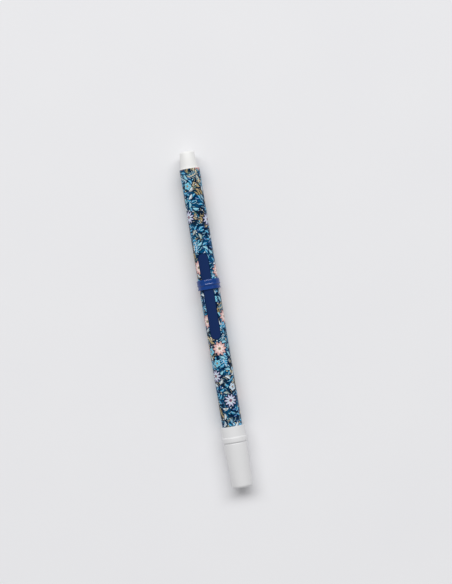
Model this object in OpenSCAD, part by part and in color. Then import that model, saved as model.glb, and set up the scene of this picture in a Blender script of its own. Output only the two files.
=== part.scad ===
// Capped fabric marking pen, lying on its side: the rear plug points to -X and the cap to +X.
// Every sub-part is turned about the pen's own axis, along which 0 is the rear end of the plug.
// along_pen() lays that axis down, at the height where the bead of the cap rests on the table.

/* [Barrel] */
// Outside diameter of the bare barrel tube
barrel_d = 9.5; // [8.5:0.1:11]
// Wall of the barrel tube
barrel_wall = 0.85; // [0.6:0.05:1.1]
// Length of the barrel tube
barrel_len = 132.6; // [120:0.2:150]
// Number of ribs inside the barrel that hold the reservoir in the middle
rib_count = 6; // [4:1:8]
// Width of each of those ribs
rib_w = 0.8; // [0.5:0.1:1.2]
// Height of each of those ribs
rib_h = 0.5; // [0.3:0.05:0.8]

/* [Printed film] */
// Thickness of the printed film round the barrel
film_t = 0.08; // [0.05:0.01:0.15]
// Strip of bare barrel that shows behind the film
film_margin = 0.4; // [0.1:0.1:2]
// How far the film runs in under the cap
film_under_cap = 3; // [1:0.5:6]

/* [Rear plug] */
// Length of the button that shows behind the barrel
plug_len = 8; // [6:0.5:12]
// How far the button laps over the end wall of the barrel
plug_lap = 0.25; // [0.1:0.05:0.5]
// How much the button narrows on each side towards its end
plug_taper = 0.65; // [0.2:0.05:1]
// Rounding of the edge of the button
plug_round = 0.9; // [0.4:0.1:1.4]
// Length of the stem inside the barrel
plug_stem_len = 9; // [6:0.5:12]
// Wall of the hollow plug
plug_wall = 1; // [0.7:0.1:1.3]
// Depth of the flutes that leave press ribs on the stem
plug_flute = 0.25; // [0.1:0.05:0.4]

/* [Band] */
// Distance of the band from the rear end of the barrel
band_pos = 53.9; // [20:0.5:90]
// Width of the band along the pen
band_w = 4.8; // [4:0.1:8]
// Thickness of the band at its rear shoulder
band_wall = 0.6; // [0.5:0.02:1]
// Length of the slope that leads up to the rear shoulder
band_lead = 0.5; // [0.2:0.05:0.5]
// Depth of that slope
band_lead_depth = 0.18; // [0.05:0.01:0.25]
// Share of the width that lies behind the crease
band_split = 0.65; // [0.55:0.01:0.7]
// Depth of the crease below the rear shoulder
band_crease = 0.18; // [0.1:0.01:0.25]
// Length of the drop from the ridge's foot into the crease
band_drop = 0.2; // [0.1:0.05:0.4]
// Width of the ridge just behind the crease
band_ridge_w = 0.95; // [0.6:0.05:1.2]
// Height of that ridge above the rear shoulder
band_ridge_h = 0.16; // [0.05:0.01:0.25]
// Height of the front shoulder above the rear one
band_front_h = 0.04; // [0:0.01:0.15]
// Running clearance between the band and the film
band_fit = 0.05; // [0.02:0.01:0.1]

/* [Front section] */
// Length of the insert inside the barrel
insert_len = 12.5; // [8:0.5:18]
// Depth of the socket for the reservoir in the insert
socket_depth = 3; // [2:0.5:6]
// Thickness of the collar at the end of the barrel
collar_t = 0.8; // [0.5:0.1:1.5]
// How far the collar stays inside the barrel's outside
collar_inset = 0.35; // [0.2:0.05:0.6]
// Step from the collar down to the seat for the seal
seat_step = 0.65; // [0.4:0.05:0.9]
// Length of the seat
seat_len = 4.6; // [3:0.2:7]
// Step from the seat down to the nose
nose_step = 0.45; // [0.2:0.05:0.8]
// Length of the nose
nose_len = 6.8; // [5:0.2:9]
// Wall round the nib at the end of the nose
nose_wall = 0.6; // [0.4:0.1:1]
// Number of air grooves along the nib
vent_count = 3; // [2:1:4]
// Radius of each air groove
vent_r = 0.3; // [0.2:0.05:0.4]

/* [Nib] */
// Diameter of the nib
nib_d = 1.9; // [1.4:0.1:2.6]
// Length of the nib outside the nose
nib_out = 2; // [1.2:0.1:3]
// Radius of the nib's writing point
nib_point_r = 0.45; // [0.3:0.05:0.6]
// How far the nib runs into the reservoir
nib_tail = 4; // [2:0.5:8]

/* [Reservoir] */
// Thickness of the film round the fibre rod
wrap_t = 0.12; // [0.08:0.01:0.2]
// Clearance round the wrapped rod
reservoir_fit = 0.05; // [0.03:0.01:0.1]
// Gap between the rod and the plug
reservoir_gap = 0.3; // [0.2:0.1:0.8]

/* [Cap] */
// How far the skirt covers the barrel
cap_overlap = 7.7; // [6.6:0.1:10]
// Running clearance between the skirt and the film
cap_fit = 0.1; // [0.05:0.01:0.1]
// Wall of the cap, the same all over its sides
cap_wall = 0.77; // [0.65:0.01:0.9]
// How much the skirt narrows on each side towards the bead
skirt_draft = 0.1; // [0:0.02:0.15]
// Distance of the bead from the mouth
bead_pos = 5.1; // [3:0.1:5.5]
// Width of the bead
bead_w = 2.7; // [2.4:0.1:3]
// Width of the flat on top of the bead
bead_flat = 1.4; // [0:0.1:1.4]
// Height of the bead above the mouth of the skirt
bead_h = 0.25; // [0.15:0.01:0.4]
// Step inside the cap from the skirt down to the body, where the lining's rim stops
stop_step = 0.2; // [0.2:0.02:0.3]
// Depth of the groove between the bead and the body
groove_depth = 0.16; // [0.06:0.01:0.2]
// Length of the groove along the pen
groove_len = 0.6; // [0.4:0.05:0.8]
// Rounding of the closed end
cap_round = 1.4; // [0.6:0.1:1.8]
// Number of ribs inside the cap that grip the lining
cap_rib_count = 8; // [6:1:12]
// Width of each of those ribs
cap_rib_w = 0.6; // [0.4:0.1:0.8]
// Height of those ribs at the closed end, from where the draft of the cap makes them taller
cap_rib_end = 0.05; // [0.03:0.01:0.1]
// Wall of the closed end
cap_end_wall = 1.4; // [1:0.1:2]
// Gap between the rim of the lining and the collar
stop_gap = 0.3; // [0.2:0.05:0.6]
// Free room between the nib and the end of the hollow
nib_room = 5.8; // [4.5:0.1:8]

/* [Inner cap] */
// Wall of the lining at its lip
liner_wall = 0.45; // [0.35:0.05:0.55]
// Running clearance between the lip and the seat
liner_fit = 0.05; // [0.02:0.01:0.1]
// Length of the sealing lip
lip_len = 1.8; // [1:0.1:2.6]
// How far the lining is relieved behind its lip
liner_relief = 0.15; // [0.05:0.05:0.2]
// Wall of the lining's closed end
liner_end = 0.5; // [0.3:0.1:0.8]
// Thickness of the rim at the mouth of the lining
rim_t = 0.6; // [0.4:0.1:1]

/* [Hidden] */
$fn = 96;
arc_steps = 8;
edge = 0.25;
eps = 0.01;

// Radii across the barrel
barrel_r = barrel_d / 2;
bore_r = barrel_r - barrel_wall;
film_r = barrel_r + film_t;
rib_r = bore_r - rib_h;
wrap_r = rib_r - reservoir_fit;
core_r = wrap_r - wrap_t;
nib_r = nib_d / 2;

// Places along the barrel
barrel_z0 = plug_len;
barrel_z1 = barrel_z0 + barrel_len;
stem_z1 = barrel_z0 + plug_stem_len;
insert_z0 = barrel_z1 - insert_len;
reservoir_z0 = stem_z1 + reservoir_gap;
reservoir_z1 = insert_z0 + socket_depth;
rib_z0 = stem_z1 + reservoir_gap;
rib_z1 = insert_z0 - reservoir_gap;
band_z0 = barrel_z0 + band_pos;

// Front section, from the collar to the nib's point
collar_r = barrel_r - collar_inset;
seat_r = collar_r - seat_step;
nose_r = seat_r - nose_step;
nose_tip_r = nib_r + nose_wall;
collar_z1 = barrel_z1 + collar_t;
seat_z1 = collar_z1 + seat_len;
nose_z1 = seat_z1 + nose_len;
nib_z0 = reservoir_z1 - nib_tail;
nib_z1 = nose_z1 + nib_out;

// Lining of the cap, sized from the seat that it seals on
lip_r = seat_r + liner_fit;
liner_r = lip_r + liner_wall;
hollow_r = lip_r + liner_relief;
stop_z = collar_z1 + stop_gap;
hollow_z1 = nib_z1 + nib_room;
liner_z1 = hollow_z1 + liner_end;

// Cap, sized from the film that it covers and the lining that it holds
mouth_z = barrel_z1 - cap_overlap;
skirt_bore_r = film_r + cap_fit;
skirt_r = skirt_bore_r + cap_wall;
skirt_low_r = skirt_r - skirt_draft;
bead_r = skirt_r + bead_h;
bead_z0 = mouth_z + bead_pos;
bead_z1 = bead_z0 + bead_w;
groove_z = bead_z1 + groove_len / 2;
body_z0 = groove_z + groove_len / 2;
body_bore_r = skirt_bore_r - stop_step;
body_bore_end_r = liner_r + cap_rib_end;
body_r = body_bore_r + cap_wall;
body_end_r = body_bore_end_r + cap_wall;
cap_z1 = liner_z1 + cap_end_wall;
rim_z1 = stop_z + rim_t;
// The bore narrows evenly from the stop to the closed end, and the rim fills it at its inner edge
rim_r = body_bore_r + (body_bore_end_r - body_bore_r) * rim_t / (liner_z1 - stop_z);

// Whole pen
pen_len = cap_z1;
rest_r = bead_r;

// Points of an arc about a centre, from one angle to another
function arc(centre, r, from, to) =
    [for (i = [0:arc_steps])
        let (a = from + (to - from) * i / arc_steps)
        centre + r * [cos(a), sin(a)]];

// Points of a rounded ridge that stands a height above radius r, from z0 to z1, with a flat on top
function ridge(r, z0, z1, height, flat = eps) =
    let (rise = (z1 - z0 - flat) / 2,
         rise_r = (rise * rise + height * height) / (2 * height),
         swing = atan2(rise, rise_r - height),
         centre_r = r + height - rise_r)
    concat(
        arc([centre_r, z0 + rise], rise_r, -swing, 0),
        arc([centre_r, z1 - rise], rise_r, 0, swing));

// Lays the pen's axis down along X, with its middle over the origin
module along_pen() {
    translate([-pen_len / 2, 0, rest_r])
        rotate([0, 90, 0])
            children();
}

// A profile of radius against length, turned about the pen's axis
module turned(profile) {
    rotate_extrude()
        polygon(profile);
}

// A plain round hole or core from one place on the axis to another
module round_bar(r, z0, z1) {
    translate([0, 0, z0])
        cylinder(r = r, h = z1 - z0);
}

// Tapered button behind a fluted hollow stem, whose ribs press in the barrel
module rear_plug() {
    base_r = bore_r + plug_lap;
    end_r = base_r - plug_taper;
    core_back = plug_wall + plug_round;
    core_front_r = bore_r - plug_wall;
    core_back_r = end_r - plug_wall;
    flute_count = 8;
    flute_r = bore_r * sin(180 / flute_count) * 0.7;
    color("whitesmoke")
        along_pen()
            difference() {
                turned(concat(
                    [[0, 0]],
                    arc([end_r - plug_round, plug_round], plug_round, -90, 0),
                    [[base_r, barrel_z0], [bore_r, barrel_z0],
                     [bore_r, stem_z1 - edge], [bore_r - edge, stem_z1], [0, stem_z1]]));
                turned([[0, core_back], [core_back_r, core_back], [core_front_r, barrel_z0],
                        [core_front_r, stem_z1 + eps], [0, stem_z1 + eps]]);
                for (i = [0:flute_count - 1])
                    rotate([0, 0, (i + 0.5) * 360 / flute_count])
                        translate([bore_r - plug_flute + flute_r, 0, 0])
                            round_bar(flute_r, barrel_z0 + 1, stem_z1 + eps);
            }
}

// Straight tube with ribs along its inside, which leave air room round the reservoir
module barrel() {
    color("white")
        along_pen() {
            turned([[bore_r, barrel_z0], [barrel_r - edge / 2, barrel_z0], [barrel_r, barrel_z0 + edge / 2],
                    [barrel_r, barrel_z1 - edge], [barrel_r - edge, barrel_z1], [bore_r, barrel_z1]]);
            intersection() {
                turned([[rib_r, rib_z0], [bore_r + barrel_wall / 2, rib_z0],
                        [bore_r + barrel_wall / 2, rib_z1], [rib_r, rib_z1]]);
                for (i = [0:rib_count - 1])
                    rotate([0, 0, i * 360 / rib_count])
                        translate([0, -rib_w / 2, rib_z0])
                            cube([barrel_r, rib_w, rib_z1 - rib_z0]);
            }
        }
}

// Printed film, one thin sleeve shrunk on the barrel
module barrel_print() {
    film_z0 = barrel_z0 + film_margin;
    film_z1 = mouth_z + film_under_cap;
    color("midnightblue")
        along_pen()
            turned([[barrel_r, film_z0], [film_r, film_z0], [film_r, film_z1], [barrel_r, film_z1]]);
}

// Blue ring with a crease round it and a ridge just behind the crease, which slides along the film
module retaining_band() {
    inner_r = film_r + band_fit;
    rear_r = inner_r + band_wall;
    front_r = rear_r + band_front_h;
    crease_z = band_z0 + band_w * band_split;
    ridge_z1 = crease_z - band_drop;
    band_z1 = band_z0 + band_w;
    color("royalblue")
        along_pen()
            turned(concat(
                [[inner_r, band_z0], [rear_r - band_lead_depth, band_z0], [rear_r, band_z0 + band_lead]],
                ridge(rear_r, ridge_z1 - band_ridge_w, ridge_z1, band_ridge_h),
                [[rear_r - band_crease, crease_z]],
                arc([front_r - edge, band_z1 - edge], edge, 0, 90),
                [[inner_r, band_z1]]));
}

// Fibre rod that holds the ink, with the hole that the nib presses into it
module ink_reservoir() {
    color("lavender")
        along_pen()
            difference() {
                round_bar(core_r, reservoir_z0, reservoir_z1);
                round_bar(nib_r, nib_z0, reservoir_z1 + eps);
            }
}

// Plastic film round the fibre rod
module reservoir_wrap() {
    color("aliceblue")
        along_pen()
            difference() {
                round_bar(wrap_r, reservoir_z0, reservoir_z1);
                round_bar(core_r, reservoir_z0 - eps, reservoir_z1 + eps);
            }
}

// Nib holder: insert with a socket for the rod, collar, seat for the seal, and tapering nose
module front_section() {
    color("white")
        along_pen()
            difference() {
                turned(concat(
                    [[0, insert_z0], [bore_r - edge, insert_z0], [bore_r, insert_z0 + edge],
                     [bore_r, barrel_z1], [collar_r, barrel_z1]],
                    arc([collar_r - edge, collar_z1 - edge], edge, 0, 90),
                    [[seat_r, collar_z1]],
                    arc([seat_r - edge, seat_z1 - edge], edge, 0, 90),
                    [[nose_r, seat_z1]],
                    arc([nose_tip_r - edge, nose_z1 - edge], edge, 15, 90),
                    [[0, nose_z1]]));
                round_bar(rib_r, insert_z0 - eps, reservoir_z1);
                round_bar(nib_r, insert_z0, nose_z1 + eps);
                for (i = [0:vent_count - 1])
                    rotate([0, 0, i * 360 / vent_count])
                        translate([nib_r, 0, 0])
                            round_bar(vent_r, insert_z0, nose_z1 + eps);
            }
}

// Fibre nib, ground to a rounded point, whose tail lies in the rod
module nib() {
    point_z = nib_z1 - nib_point_r;
    color("gainsboro")
        along_pen()
            turned(concat(
                [[0, nib_z0], [nib_r, nib_z0], [nib_r, nose_z1 + nib_out * 0.35]],
                arc([0, point_z], nib_point_r, 30, 90)));
}

// Lining pressed into the cap: a thin cup with a rim, whose lip runs on the seat of the front section
module inner_cap() {
    color("aliceblue")
        along_pen()
            turned([[lip_r, stop_z + edge], [lip_r + edge, stop_z], [rim_r, stop_z], [rim_r, rim_z1],
                    [liner_r, rim_z1], [liner_r, liner_z1], [0, liner_z1], [0, hollow_z1],
                    [hollow_r, hollow_z1], [hollow_r, stop_z + lip_len + liner_relief],
                    [lip_r, stop_z + lip_len]]);
}

// Cap: skirt over the barrel, bead, and a body that tapers to a rounded closed end.
// Ribs inside the body reach in to the lining and grip it.
module cap() {
    color("white")
        along_pen() {
            turned(concat(
                [[skirt_bore_r + edge / 2, mouth_z]],
                arc([skirt_r - edge, mouth_z + edge], edge, -90, 0),
                ridge(skirt_low_r, bead_z0, bead_z1, bead_r - skirt_low_r, bead_flat),
                [[body_r - groove_depth, groove_z], [body_r, body_z0]],
                arc([body_end_r - cap_round, cap_z1 - cap_round], cap_round, 0, 90),
                [[0, cap_z1], [0, liner_z1], [body_bore_end_r, liner_z1], [body_bore_r, stop_z],
                 [skirt_bore_r, stop_z], [skirt_bore_r, mouth_z + edge]]));
            intersection() {
                turned([[liner_r, rim_z1], [body_bore_r + cap_wall / 2, rim_z1],
                        [body_bore_end_r + cap_wall / 2, liner_z1 + cap_end_wall / 2],
                        [liner_r, liner_z1 + cap_end_wall / 2]]);
                for (i = [0:cap_rib_count - 1])
                    rotate([0, 0, (i + 0.5) * 360 / cap_rib_count])
                        translate([0, -cap_rib_w / 2, rim_z1])
                            cube([skirt_r, cap_rib_w, liner_z1 + cap_end_wall / 2 - rim_z1]);
            }
        }
}

rear_plug();
barrel();
barrel_print();
retaining_band();
ink_reservoir();
reservoir_wrap();
front_section();
nib();
inner_cap();
cap();
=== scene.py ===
import math

import bmesh
import bpy
from mathutils import Matrix, Vector


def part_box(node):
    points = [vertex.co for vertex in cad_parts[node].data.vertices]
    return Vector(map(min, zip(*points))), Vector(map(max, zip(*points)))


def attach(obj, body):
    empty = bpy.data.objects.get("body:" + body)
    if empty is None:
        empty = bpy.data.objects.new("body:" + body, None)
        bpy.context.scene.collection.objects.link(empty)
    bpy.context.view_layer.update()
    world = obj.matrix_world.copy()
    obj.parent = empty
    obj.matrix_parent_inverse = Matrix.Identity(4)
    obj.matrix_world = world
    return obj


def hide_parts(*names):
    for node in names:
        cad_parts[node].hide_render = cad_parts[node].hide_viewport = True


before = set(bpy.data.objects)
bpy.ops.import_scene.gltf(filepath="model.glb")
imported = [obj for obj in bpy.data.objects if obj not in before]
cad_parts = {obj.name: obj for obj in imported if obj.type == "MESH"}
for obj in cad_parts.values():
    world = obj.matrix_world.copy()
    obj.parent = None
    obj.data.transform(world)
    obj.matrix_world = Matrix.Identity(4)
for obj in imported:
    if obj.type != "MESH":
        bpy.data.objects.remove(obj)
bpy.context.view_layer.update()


# Fibre rod that holds the ink. Bonded polyester fibres run along it, so it is matt and finely
# streaked lengthwise, with a trace of the blue ink. It lies in the ribs of the barrel.
def shade(red, green, blue):
    """A colour in levels from 0 to 255, as the renderer takes it."""
    levels = [x / 255 for x in (red, green, blue)]
    return [x / 12.92 if x <= 0.04045 else ((x + 0.055) / 1.055) ** 2.4 for x in levels] + [1]


def noise(tree, place, scale, detail):
    """A soft random pattern over a surface."""
    node = tree.nodes.new("ShaderNodeTexNoise")
    node.inputs["Scale"].default_value = scale
    node.inputs["Detail"].default_value = detail
    tree.links.new(place, node.inputs["Vector"])
    return node.outputs["Fac"]


def emboss(tree, height, depth):
    """Raises a surface by a pattern, up to a depth in metres."""
    bump = tree.nodes.new("ShaderNodeBump")
    bump.inputs["Distance"].default_value = depth
    tree.links.new(height, bump.inputs["Height"])
    tree.links.new(bump.outputs["Normal"], tree.nodes["Principled BSDF"].inputs["Normal"])


def finish(name, pale, deep, patch, gloss, dull, grain, relief, stretch=(1, 1, 1)):
    """A surface whose colour drifts from pale to deep in patches.

    Its roughness, between gloss and dull, and its relief follow a fine grain. Sizes are in
    metres, and a small stretch draws the patterns out along that axis."""
    material = bpy.data.materials.new(name)
    material.use_nodes = True
    tree = material.node_tree
    nodes, links = tree.nodes, tree.links
    shader = nodes["Principled BSDF"]
    place, lay = nodes.new("ShaderNodeTexCoord"), nodes.new("ShaderNodeMapping")
    lay.inputs["Scale"].default_value = stretch
    links.new(place.outputs["Object"], lay.inputs["Vector"])
    clouds = noise(tree, lay.outputs["Vector"], 1 / patch, 2)
    grains = noise(tree, lay.outputs["Vector"], 1 / grain, 4)
    tint = nodes.new("ShaderNodeMix")
    tint.data_type = "RGBA"
    tint.inputs["A"].default_value = pale
    tint.inputs["B"].default_value = deep
    links.new(clouds, tint.inputs["Factor"])
    links.new(tint.outputs["Result"], shader.inputs["Base Color"])
    sheen = nodes.new("ShaderNodeMapRange")
    for entry, value in (("From Min", 0.3), ("From Max", 0.7), ("To Min", gloss), ("To Max", dull)):
        sheen.inputs[entry].default_value = value
    links.new(grains, sheen.inputs["Value"])
    links.new(sheen.outputs["Result"], shader.inputs["Roughness"])
    emboss(tree, grains, relief)
    return material


def dress(node, material):
    """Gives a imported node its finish."""
    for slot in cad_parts[node].material_slots:
        slot.material = material


fibre = finish("bonded fibre", shade(226, 229, 236), shade(196, 206, 226), patch=0.004,
               gloss=0.75, dull=0.95, grain=0.00012, relief=0.00002, stretch=(0.06, 1, 1))
dress("ink_reservoir", fibre)


# Film round the fibre rod. Clear polypropylene a tenth of a millimetre thick, rolled round the
# fibres to hold them together, with its lap along one side.
sleeve = finish("clear wrap", shade(224, 230, 238), shade(206, 216, 230), patch=0.006,
                gloss=0.12, dull=0.25, grain=0.0008, relief=0.000006, stretch=(0.2, 1, 1))
sleeve.node_tree.nodes["Principled BSDF"].inputs["Alpha"].default_value = 0.45
dress("reservoir_wrap", sleeve)


# Barrel. An extruded tube of white polypropylene, cut square and lightly chamfered at both ends.
# Only its rear edge and the last few millimetres under the cap are bare of print.
MM = 0.001
axis_z = sum(corner.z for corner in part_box("barrel")) / 2
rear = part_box("rear_plug")[0].x


def span(node):
    """Where a node starts and ends along the pen, in mm from the rear end."""
    return [(corner.x - rear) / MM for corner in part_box(node)]


def keep(name, mesh):
    """Makes a piece of a mesh, smooth but for its sharp edges."""
    data = bpy.data.meshes.new(name)
    for face in mesh.faces:
        face.smooth = True
    mesh.to_mesh(data)
    mesh.free()
    data.set_sharp_from_angle(angle=math.radians(38))
    piece = bpy.data.objects.new(name, data)
    bpy.context.scene.collection.objects.link(piece)
    return piece


def turned(name, outline, closed=True, steps=160):
    """Turns an outline round the pen's axis.

    Each point is a place from the rear end, a radius and a rounding, in mm."""
    mesh = bmesh.new()
    points = [mesh.verts.new((rear + place * MM, 0, axis_z + radius * MM))
              for place, radius, _ in outline]
    pairs = list(zip(points, points[1:])) + ([(points[-1], points[0])] if closed else [])
    for pair in pairs:
        mesh.edges.new(pair)
    for point, (_, _, rounding) in zip(points, outline):
        if rounding:
            bmesh.ops.bevel(mesh, geom=[point], offset=rounding * MM, offset_type="OFFSET",
                            affect="VERTICES", segments=6, profile=0.5, material=-1)
    bmesh.ops.spin(mesh, geom=mesh.verts[:] + mesh.edges[:], cent=(0, 0, axis_z), axis=(1, 0, 0),
                   angle=2 * math.pi, steps=steps, use_merge=True)
    bmesh.ops.remove_doubles(mesh, verts=mesh.verts, dist=1e-7)
    bmesh.ops.recalc_face_normals(mesh, faces=mesh.faces)
    return keep(name, mesh)


def fit(piece, material, body, node):
    """Puts a piece in its place in the pen."""
    piece.data.materials.append(material)
    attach(piece, body)
    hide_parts(node)


white = finish("white plastic", shade(240, 240, 239), shade(236, 236, 234), patch=0.009,
               gloss=0.32, dull=0.42, grain=0.0003, relief=0.000004)
tube_back, tube_front = span("barrel")
tube_r, tube_bore_r = 4.75, 3.90
tube = turned("barrel_tube", [
    (tube_back, tube_bore_r, 0.08), (tube_back, tube_r, 0.12),
    (tube_front, tube_r, 0.22), (tube_front, tube_bore_r, 0.08)])
fit(tube, white, "pen_body", "barrel")


# Rear plug. Moulded in white polypropylene and pressed into the tube up to the shoulder of its
# button. The small sunk ring in the middle of the button is where the plastic was fed in.
gate_r, gate_depth, pip_r, pip_height = 0.9, 0.22, 0.3, 0.1


def feed_point(face, inward):
    """Outline of the sunk ring and the pip in it, from the middle of an end face outwards."""
    pip, floor = face + inward * (gate_depth - pip_height), face + inward * gate_depth
    return [(pip, 0, 0), (pip, pip_r, 0.06), (floor, pip_r + 0.06, 0.04),
            (floor, gate_r - 0.15, 0.08), (face, gate_r, 0.1)]


plug_front = span("rear_plug")[1]
button_r, shoulder_r = 3.50, 4.15
stem_bore_r, bore_end_r, bore_end = 2.90, 2.5, 1.9
plug = turned("rear_button", [
    *feed_point(0, 1), (0, button_r, 0.9), (tube_back, shoulder_r, 0.1),
    (tube_back, tube_bore_r, 0), (plug_front, tube_bore_r, 0.25), (plug_front, stem_bore_r, 0.15),
    (tube_back, stem_bore_r, 0.6), (bore_end, bore_end_r, 0.5), (bore_end, 0, 0)], closed=False)
fit(plug, white, "pen_body", "rear_plug")


# Nib holder. Moulded in white polypropylene and pressed into the front of the tube up to its
# collar. The cap's lining seals on the smooth seat behind the nose.
moulded = finish("nib holder plastic", shade(236, 237, 238), shade(228, 230, 232), patch=0.006,
                 gloss=0.28, dull=0.38, grain=0.0003, relief=0.000003)
dress("front_section", moulded)


# Nib. Bonded fibres ground to a round point, porous and matt, and stained pale blue by the ink.
# It is pushed into the bore of its holder and runs back into the fibre rod.
felt = finish("nib fibre", shade(196, 220, 238), shade(150, 192, 226), patch=0.0012,
              gloss=0.7, dull=0.95, grain=0.00008, relief=0.00003, stretch=(0.15, 1, 1))
nib_back, nib_front = span("nib")
nib_r, cone, tip_r = 0.95, 1.35, 0.42
nib = turned("fibre_nib", [
    (nib_back, 0, 0), (nib_back, nib_r, 0.1), (nib_front - cone, nib_r, 0.3),
    (nib_front - 0.25, tip_r, 0.2), (nib_front, 0.12, 0.08), (nib_front, 0, 0)],
    closed=False, steps=64)
fit(nib, felt, "pen_body", "nib")


# Printed film. A polypropylene film printed on the flat, then wrapped round the tube, where its
# edges lap in a fine line underneath. Leaves, small flowers and a few large ones cover a navy
# ground, and a bare navy panel runs along the top.
class Field:
    """A number that varies over the film, which sums and products build on."""

    def __init__(self, tree, socket):
        self.tree, self.socket = tree, socket

    def calc(self, operation, *others, clamp=False):
        node = self.tree.nodes.new("ShaderNodeMath")
        node.operation, node.use_clamp = operation, clamp
        for entry, value in zip(node.inputs, (self,) + others):
            if isinstance(value, Field):
                self.tree.links.new(value.socket, entry)
            else:
                entry.default_value = value
        return Field(self.tree, node.outputs[0])

    def __add__(self, other):
        return self.calc("ADD", other)

    def __sub__(self, other):
        return self.calc("SUBTRACT", other)

    def __mul__(self, other):
        return self.calc("MULTIPLY", other)

    def inside(self, blur=0.07):
        """1 where the number is above 0, with a soft printed edge blur mm wide."""
        return self.calc("MULTIPLY_ADD", 1 / blur, 0.5, clamp=True)

    def under(self, limit):
        """How far the number is under a limit."""
        return self.calc("MULTIPLY_ADD", -1, limit)


def turn(across, along, angle):
    """A place turned by an angle, which is a number or a field."""
    if isinstance(angle, Field):
        sine, cosine = angle.calc("SINE"), angle.calc("COSINE")
    else:
        sine, cosine = math.sin(angle), math.cos(angle)
    return across * cosine + along * sine, along * cosine - across * sine


def from_middle(across, along):
    """How far a place is from the middle, in mm."""
    return (across * across + along * along).calc("SQRT")


def stray(place, number, most):
    """Moves a motif off the middle of its cell by a drawn number, at most so many mm."""
    return place + number.calc("MULTIPLY_ADD", 2 * most, -most)


film_r, film_wall = 4.83, 0.08
film_back, film_front = span("barrel_print")
film_around = 2 * math.pi * film_r
film_length = film_front - film_back


def cells(around, along, columns, length, shift, seed):
    """Splits the film in cells, each row half a cell on from the last.

    Gives the place from the middle of the cell in mm, and three numbers drawn for it."""
    tree = around.tree
    width = film_around / columns
    row_place = along.calc("MULTIPLY_ADD", 1 / length, shift)
    row = row_place.calc("FLOOR")
    column_place = (around.calc("MULTIPLY_ADD", 1 / width, shift)
                    + row.calc("FLOORED_MODULO", 2) * 0.5)
    column = column_place.calc("FLOOR")
    join, draw, split = (tree.nodes.new("ShaderNode" + kind) for kind in (
        "CombineXYZ", "TexWhiteNoise", "SeparateColor"))
    tree.links.new(column.calc("FLOORED_MODULO", columns).socket, join.inputs["X"])
    tree.links.new(row.socket, join.inputs["Y"])
    join.inputs["Z"].default_value = seed
    tree.links.new(join.outputs["Vector"], draw.inputs["Vector"])
    tree.links.new(draw.outputs["Color"], split.inputs["Color"])
    return ((column_place - column).calc("MULTIPLY_ADD", width, -width / 2),
            (row_place - row).calc("MULTIPLY_ADD", length, -length / 2),
            [Field(tree, split.outputs[i]) for i in range(3)])


def blade(across, along, reach, half_width, bend=0.0):
    """How far a place is inside a pointed leaf, and how far beside the leaf's midrib, in mm."""
    square = along * along
    middle = across
    if bend:
        middle = square.calc("MULTIPLY_ADD", bend, across) - bend * reach ** 2 / 2
    edge = square.calc("MULTIPLY_ADD", -half_width / reach ** 2, half_width)
    return edge - middle.calc("ABSOLUTE"), middle


def petals(across, along, count, turned_by):
    """Folds a place into one petal.

    Gives how far it is out along the petal's line, beside that line, and from the middle."""
    angle = along.calc("ARCTAN2", across) + turned_by
    part = 2 * math.pi / count
    folded = angle.calc("WRAP", part / 2, -part / 2)
    radius = from_middle(across, along)
    return radius * folded.calc("COSINE"), radius * folded.calc("SINE"), radius


def over(below, colour, cover):
    """Prints a colour over what is below, where cover is 1."""
    tree = cover.tree
    mix = tree.nodes.new("ShaderNodeMix")
    mix.data_type = "RGBA"
    tree.links.new(cover.socket, mix.inputs["Factor"])
    for entry, value in (("A", below), ("B", colour)):
        if isinstance(value, bpy.types.NodeSocket):
            tree.links.new(value, mix.inputs[entry])
        else:
            mix.inputs[entry].default_value = value
    return mix.outputs["Result"]


def inks(number, *colours):
    """Picks one of several inks by a drawn number."""
    ramp = number.tree.nodes.new("ShaderNodeValToRGB")
    ramp.color_ramp.interpolation = "CONSTANT"
    stops = ramp.color_ramp.elements
    for i, colour in enumerate(colours):
        stop = stops[i] if i < 2 else stops.new(i / len(colours))
        stop.position, stop.color = i / len(colours), colour
    number.tree.links.new(number.socket, ramp.inputs["Fac"])
    return ramp.outputs["Color"]


NAVY, DEEP, MOSS = shade(0, 28, 60), shade(0, 80, 124), shade(16, 32, 40)
TEAL, BLUE, CYAN = shade(0, 104, 138), shade(2, 98, 170), shade(44, 162, 210)
LIGHT, PALE, LILAC = shade(134, 208, 230), shade(214, 230, 240), shade(196, 196, 226)
GREEN, GOLD, TAN = shade(66, 118, 104), shade(174, 154, 110), shade(226, 212, 178)
PINK, PEACH, ROSE = shade(232, 188, 184), shade(244, 226, 222), shade(160, 92, 100)
PANEL = shade(24, 46, 92)


def zone(around, along):
    """1 where the print turns to gold and green, and 0 where it is blue."""
    tree = around.tree
    angle = around * (2 * math.pi / film_around)
    join = tree.nodes.new("ShaderNodeCombineXYZ")
    place = (along, angle.calc("COSINE") * film_r, angle.calc("SINE") * film_r)
    for entry, value in zip(join.inputs, place):
        tree.links.new(value.socket, entry)
    drift = noise(tree, join.outputs["Vector"], 0.125, 1)
    return Field(tree, drift).calc("MULTIPLY_ADD", 20, -11.5, clamp=True)


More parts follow.
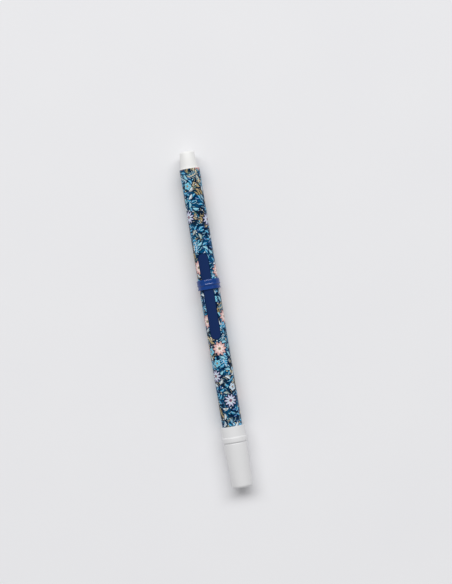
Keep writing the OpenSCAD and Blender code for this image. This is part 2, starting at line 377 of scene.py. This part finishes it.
def leaves(around, along, below, slant, columns, length, shift, seed, share, cool, warm, lobes=0.0):
    """One layer of leaves, each turned its own way.

    They are inked round in navy, half in shade, with pale veins."""
    across, up, drawn = cells(*turn(around, along, slant), columns, length, shift, seed)
    middle_across, middle_up = turn(across, up, -slant)
    golden = zone(around - middle_across, along - middle_up)
    across, up = turn(across, up, drawn[0] * (2 * math.pi))
    size = length * 0.46
    edge, middle = blade(across, up, size, size * (0.5 if lobes else 0.42), bend=0.35 / size)
    rib = middle.calc("ABSOLUTE")
    line = rib.under(size * 0.05)
    if lobes:
        veins = (up * 2 - rib).calc("MULTIPLY", 2 * math.pi / 2.1).calc("COSINE")
        edge = edge + veins * lobes
        line = line.calc("MAXIMUM", veins * 0.3 - 0.24)
    shown = drawn[1].calc("LESS_THAN", share)
    below = over(below, NAVY, (edge + 0.28).inside() * shown)
    ink = over(inks(drawn[2], *cool), inks(drawn[2], *warm), golden)
    below = over(below, over(ink, NAVY, middle.inside() * 0.4), edge.inside() * shown)
    vein = line.inside(0.05) * (edge - 0.1).inside() * shown * 0.85
    return over(below, over(PALE, TAN, golden), vein)


def sprigs(around, along, below, where, columns, length, shift, seed, size, colours):
    """One layer of sprigs: a stem with pairs of small leaves."""
    across, up, drawn = cells(around, along, columns, length, shift, seed)
    across, up = turn(across, up, drawn[0] * (2 * math.pi))
    across = (up * up).calc("MULTIPLY_ADD", 0.09, across)
    beside = across.calc("ABSOLUTE")
    pitch = size * 0.42
    step = up.calc("FLOORED_MODULO", pitch) - pitch * 0.35
    slope = math.radians(52)
    out = step * math.cos(slope) + beside * math.sin(slope)
    off = beside * math.cos(slope) - step * math.sin(slope)
    reach = size * 0.24
    leaf, _ = blade(off, out - reach * 1.05, reach, reach * 0.42)
    ends = up.calc("ABSOLUTE").under(size * 0.92)
    stem = beside.under(0.12).calc("MAXIMUM", leaf).calc("MINIMUM", ends)
    below = over(below, MOSS, (stem + 0.18).inside() * where)
    return over(below, inks(drawn[2], *colours), stem.inside() * where)


def print_pattern(material):
    """Prints the film, and gives it faint ripples and the step of its lap."""
    tree = material.node_tree
    nodes, links = tree.nodes, tree.links
    shader = nodes["Principled BSDF"]
    wrap, split = nodes.new("ShaderNodeUVMap"), nodes.new("ShaderNodeSeparateXYZ")
    wrap.uv_map = "wrap"
    links.new(wrap.outputs["UV"], split.inputs["Vector"])
    around = Field(tree, split.outputs["X"]) * film_around
    along = Field(tree, split.outputs["Y"]) * film_length
    place = nodes.new("ShaderNodeTexCoord").outputs["Object"]
    golden = zone(around, along)

    # Ground, mottled navy and deep blue
    mottle = Field(tree, noise(tree, place, 260, 2))
    ink = over(NAVY, DEEP, mottle.calc("MULTIPLY_ADD", 7, -3.1, clamp=True))
    ink = over(ink, MOSS, golden * 0.8)

    # Layers of leaves and sprigs, from the lowest up
    ink = leaves(around, along, ink, slant=0.5, columns=12, length=2.5, shift=0.0, seed=1,
                 share=0.95, cool=(TEAL, BLUE, CYAN), warm=(MOSS, GREEN))
    ink = leaves(around, along, ink, slant=-0.4, columns=10, length=3.0, shift=0.5, seed=2,
                 share=0.9, cool=(CYAN, TEAL, CYAN), warm=(GOLD, MOSS, TEAL))
    ink = leaves(around, along, ink, slant=0.3, columns=4, length=7.8, shift=0.7, seed=4,
                 share=0.4, cool=(CYAN, TEAL, CYAN), warm=(TEAL, CYAN), lobes=0.3)
    ink = leaves(around, along, ink, slant=-0.7, columns=9, length=3.4, shift=0.25, seed=3,
                 share=0.72, cool=(LIGHT, CYAN, PALE), warm=(GOLD, TAN, PALE))
    ink = sprigs(around, along, ink, where=golden, columns=5, length=5.8, shift=0.4, seed=5,
                 size=3.0, colours=(GOLD, TAN))

    # Berries in the gaps
    across, up, drawn = cells(around, along, columns=13, length=2.5, shift=0.3, seed=6)
    berry_r, share = 0.3, 0.3
    berry = from_middle(across, up).under(berry_r)
    shown = drawn[1].calc("LESS_THAN", share)
    ink = over(ink, NAVY, (berry + 0.18).inside() * shown)
    ink = over(ink, inks(drawn[2], LIGHT, TAN, PALE), berry.inside() * shown)

    # Small flowers of five round petals, with a ray on each petal and a gold eye
    across, up, drawn = cells(around, along, columns=5, length=6.1, shift=0.15, seed=7)
    across, up = stray(across, drawn[0], 0.7), stray(up, drawn[1], 0.7)
    petal_at, petal_r, ray_end, eye_r, dot_r, share = 1.15, 0.72, 1.4, 0.46, 0.2, 0.14
    out, off, radius = petals(across, up, 5, drawn[0] * 6)
    petal = from_middle(out - petal_at, off).under(petal_r)
    shown = drawn[2].calc("LESS_THAN", share)
    ink = over(ink, NAVY, (petal + 0.25).inside() * shown)
    ink = over(ink, inks(drawn[1], LIGHT, PALE), petal.inside() * shown)
    ray = off.calc("ABSOLUTE").under(0.1).inside() * out.calc("LESS_THAN", ray_end)
    ink = over(ink, BLUE, ray * petal.inside() * shown * 0.9)
    ink = over(ink, GOLD, radius.under(eye_r).inside() * shown)
    ink = over(ink, ROSE, radius.under(dot_r).inside() * shown)

    # Large flowers with two rings of pointed petals: full and pink where kind is under a half,
    # thin and pale where it is over
    across, up, drawn = cells(around, along, columns=3, length=12.4, shift=0.62, seed=9)
    across, up = stray(across, drawn[0], 1.2), stray(up, drawn[1], 2.0)
    disc_r, eye_r, dot_r, share = 2, 0.7, 0.34, 0.48
    shown = drawn[2].calc("LESS_THAN", share)
    kind = drawn[2] * 2.2
    thin = kind.calc("GREATER_THAN", 0.5)
    out, off, radius = petals(across, up, 10, drawn[1] * 6)
    petal, _ = blade(off, out - 1.95, reach=1.5, half_width=0.64)
    disc = (petal + 0.35).inside(0.2).calc("MAXIMUM", radius.calc("LESS_THAN", disc_r))
    ink = over(ink, NAVY, disc * shown)
    ink = over(ink, inks(kind, PINK, LILAC), (petal - thin * 0.24).inside() * shown)
    midline = off.calc("ABSOLUTE").under(0.08).inside(0.05) * petal.inside()
    ink = over(ink, ROSE, midline * shown * thin.under(1) * 0.7)
    out, off, radius = petals(across, up, 8, drawn[0] * 6)
    petal, _ = blade(off, out - 1.2, reach=1.05, half_width=0.42)
    ink = over(ink, inks(kind, PEACH, PALE), (petal - thin * 0.1).inside() * shown)
    ink = over(ink, inks(kind, GOLD, ROSE), radius.under(eye_r).inside() * shown)
    ink = over(ink, DEEP, radius.under(dot_r).inside() * shown * 0.8)

    # Bare panel along the top, with round ends
    panel_around, panel_along = film_around / 2 + 0.65, 70.05 - film_back
    panel_half_w, panel_half_l, panel_round = 2.35, 20.5, 2.2
    side = (around - panel_around).calc("ABSOLUTE") - (panel_half_w - panel_round)
    end = (along - panel_along).calc("ABSOLUTE") - (panel_half_l - panel_round)
    panel = from_middle(side.calc("MAXIMUM", 0), end.calc("MAXIMUM", 0)).under(panel_round)
    ink = over(ink, NAVY, (panel + 0.35).inside(0.1))
    ink = over(ink, PANEL, panel.inside())
    links.new(ink, shader.inputs["Base Color"])

    # Faint ripples of the film and the step of its lap underneath
    ripple = Field(tree, noise(tree, place, 260, 3))
    links.new(ripple.calc("MULTIPLY_ADD", 0.2, 0.12).socket, shader.inputs["Roughness"])
    lap_at = 1.2
    lap = (around - lap_at).calc("GREATER_THAN", 0)
    emboss(tree, (ripple * 0.25 + lap).socket, 0.00003)
    shader.inputs["Specular IOR Level"].default_value = 0.1


def wrap_round(piece):
    """Lays the film's own map on it: once round from underneath, and along from its rear edge."""
    data = piece.data
    wrap = data.uv_layers.new(name="wrap")
    once = 2 * math.pi
    for face in data.polygons:
        middle = math.atan2(face.center.y, axis_z - face.center.z) % once
        for corner in face.loop_indices:
            spot = data.vertices[data.loops[corner].vertex_index].co
            angle = math.atan2(spot.y, axis_z - spot.z)
            angle += once * round((middle - angle) / once)
            wrap.data[corner].uv = angle / once, ((spot.x - rear) / MM - film_back) / film_length


printed = bpy.data.materials.new("printed film")
printed.use_nodes = True
print_pattern(printed)
film = turned("film_sleeve", [
    (film_back, film_r - film_wall, 0), (film_back, film_r, 0.03),
    (film_front, film_r, 0.03), (film_front, film_r - film_wall, 0)], steps=192)
wrap_round(film)
fit(film, printed, "pen_body", "barrel_print")


# Band. A ring of glossy blue plastic with a crease round it and a low ridge just behind the
# crease. It is slipped over the film with a light running fit, so it slides along the barrel.
blue = finish("blue plastic", shade(4, 62, 136), shade(2, 54, 126), patch=0.004,
              gloss=0.08, dull=0.16, grain=0.0004, relief=0.000004)
blue.node_tree.nodes["Principled BSDF"].inputs["Specular IOR Level"].default_value = 0.42
band_back, band_front = span("retaining_band")
band_bore_r, lead_r, rear_r, ridge_r, crease_r, front_r = 4.88, 5.30, 5.48, 5.64, 5.27, 5.52
crease = band_back + 3.1
ridge_back, crest = crease - 1.15, crease - 0.62
ring = turned("blue_band", [
    (band_back, band_bore_r, 0.06), (band_back, lead_r, 0.06),
    (band_back + 0.55, rear_r + 0.02, 0.12), (ridge_back, rear_r - 0.02, 0.12),
    (crest - 0.06, ridge_r + 0.01, 0.15), (crest + 0.16, ridge_r, 0.12),
    (crease, crease_r, 0.05), (crease + 0.6, crease_r + 0.06, 0.5),
    (band_front, front_r, 0.24), (band_front, band_bore_r, 0.06)])
fit(ring, blue, "band", "retaining_band")


# Lining of the cap. A thin cup of milky polyethylene pressed into the cap, whose lip closes on
# the seat of the nib holder and keeps the nib wet.
milky = finish("milky plastic", shade(226, 230, 232), shade(214, 220, 224), patch=0.005,
               gloss=0.35, dull=0.5, grain=0.0003, relief=0.000004)
lining_back, lining_front = span("inner_cap")
lining_r, lip_r, hollow_r, rim_r = 4.25, 3.80, 3.95, 4.70
lip_lead, lip_len, rim_len, lining_floor = 0.25, 1.8, 0.6, 0.5
lining = turned("cap_lining", [
    (lining_back + lip_lead, lip_r, 0.05), (lining_back, lip_r + lip_lead, 0.05),
    (lining_back, rim_r, 0.05), (lining_back + rim_len, rim_r, 0.05),
    (lining_back + rim_len, lining_r, 0), (lining_front, lining_r, 0.3), (lining_front, 0, 0),
    (lining_front - lining_floor, 0, 0), (lining_front - lining_floor, hollow_r, 0.3),
    (lining_back + lip_len + 0.15, hollow_r, 0.1), (lining_back + lip_len, lip_r, 0.1)])
fit(lining, milky, "pen_cap", "inner_cap")


# Cap. Moulded in white polypropylene: a skirt over the barrel, a raised bead to pull it by, and
# a body that narrows to a rounded closed end, with the sunk ring of its feed point.
cap_white = finish("cap plastic", shade(229, 229, 230), shade(223, 223, 224), patch=0.010,
                   gloss=0.3, dull=0.4, grain=0.0003, relief=0.000004)
mouth, cap_end = span("cap")
skirt_bore_r, skirt_r, skirt_low_r, bead_r = 4.93, 5.70, 5.60, 5.95
bead_back, bead_front = mouth + 5.1, mouth + 7.8
groove_depth, groove_len = 0.16, 0.6
body_r, body_end_r = 5.50, 5.07
stop, body_bore_r, body_bore_end_r, hollow_end = 141.7, 4.73, 4.30, 161.1
shell = turned("pen_cap_shell", [
    (mouth, skirt_bore_r, 0.15), (mouth, skirt_r, 0.22), (bead_back, skirt_low_r, 0.1),
    (bead_back + 0.2, bead_r, 0.5), (bead_front - 0.2, bead_r, 0.4),
    (bead_front, skirt_low_r, 0.06), (bead_front + groove_len / 2, body_r - groove_depth, 0.12),
    (bead_front + groove_len, body_r, 0.14), (cap_end, body_end_r, 1.3),
    *reversed(feed_point(cap_end, -1)), (hollow_end, 0, 0), (hollow_end, body_bore_end_r, 0.2),
    (stop, body_bore_r, 0), (stop, skirt_bore_r, 0)])
fit(shell, cap_white, "pen_cap", "cap")


# Table. A pale matt board that the pen lies on, painted and faintly grained.
board = finish("table board", shade(238, 238, 240), shade(235, 235, 238), patch=0.05,
               gloss=0.7, dull=0.8, grain=0.002, relief=0.00001)
slab = bmesh.new()
bmesh.ops.create_grid(slab, x_segments=1, y_segments=1, size=3)
table = keep("table", slab)
table.data.materials.append(board)


# Light. One wide soft box hangs over the rear end of the pen, square across it and a little to
# one side, and an even white light comes from all round.
light = bpy.data.lights.new("soft box", "AREA")
light.shape, light.size, light.size_y, light.energy = "RECTANGLE", 8.6, 2.0, 278
soft_box = bpy.data.objects.new("soft box", light)
soft_box.location = (-3.0, 0.5, 4.3)
soft_box.rotation_mode = "QUATERNION"
soft_box.rotation_quaternion = Vector((-3.0, 0, 4.3)).to_track_quat("Z", "Y")
bpy.context.scene.collection.objects.link(soft_box)
world = bpy.data.worlds.new("room")
bpy.context.scene.world = world
world.use_nodes = True
world.node_tree.nodes["Background"].inputs["Color"].default_value = (1, 1, 1, 1)
world.node_tree.nodes["Background"].inputs["Strength"].default_value = 0.35


# Camera, straight above the pen and turned a little against it.
lean = math.radians(9.5)
camera = bpy.data.cameras.new("camera")
camera.sensor_width = 36
height, seen = 0.9, 0.2792
camera.lens = camera.sensor_width * height / seen
eye = bpy.data.objects.new("camera", camera)
right = Vector((math.sin(lean), math.cos(lean), 0))
up = Vector((-math.cos(lean), math.sin(lean), 0))
turned_view = Matrix((right, up, Vector((0, 0, 1)))).transposed().to_4x4()
eye.matrix_world = Matrix.Translation((-0.01199, 0.00756, axis_z + height)) @ turned_view
bpy.context.scene.collection.objects.link(eye)
bpy.context.scene.camera = eye
bpy.context.scene.view_settings.view_transform = "Standard"
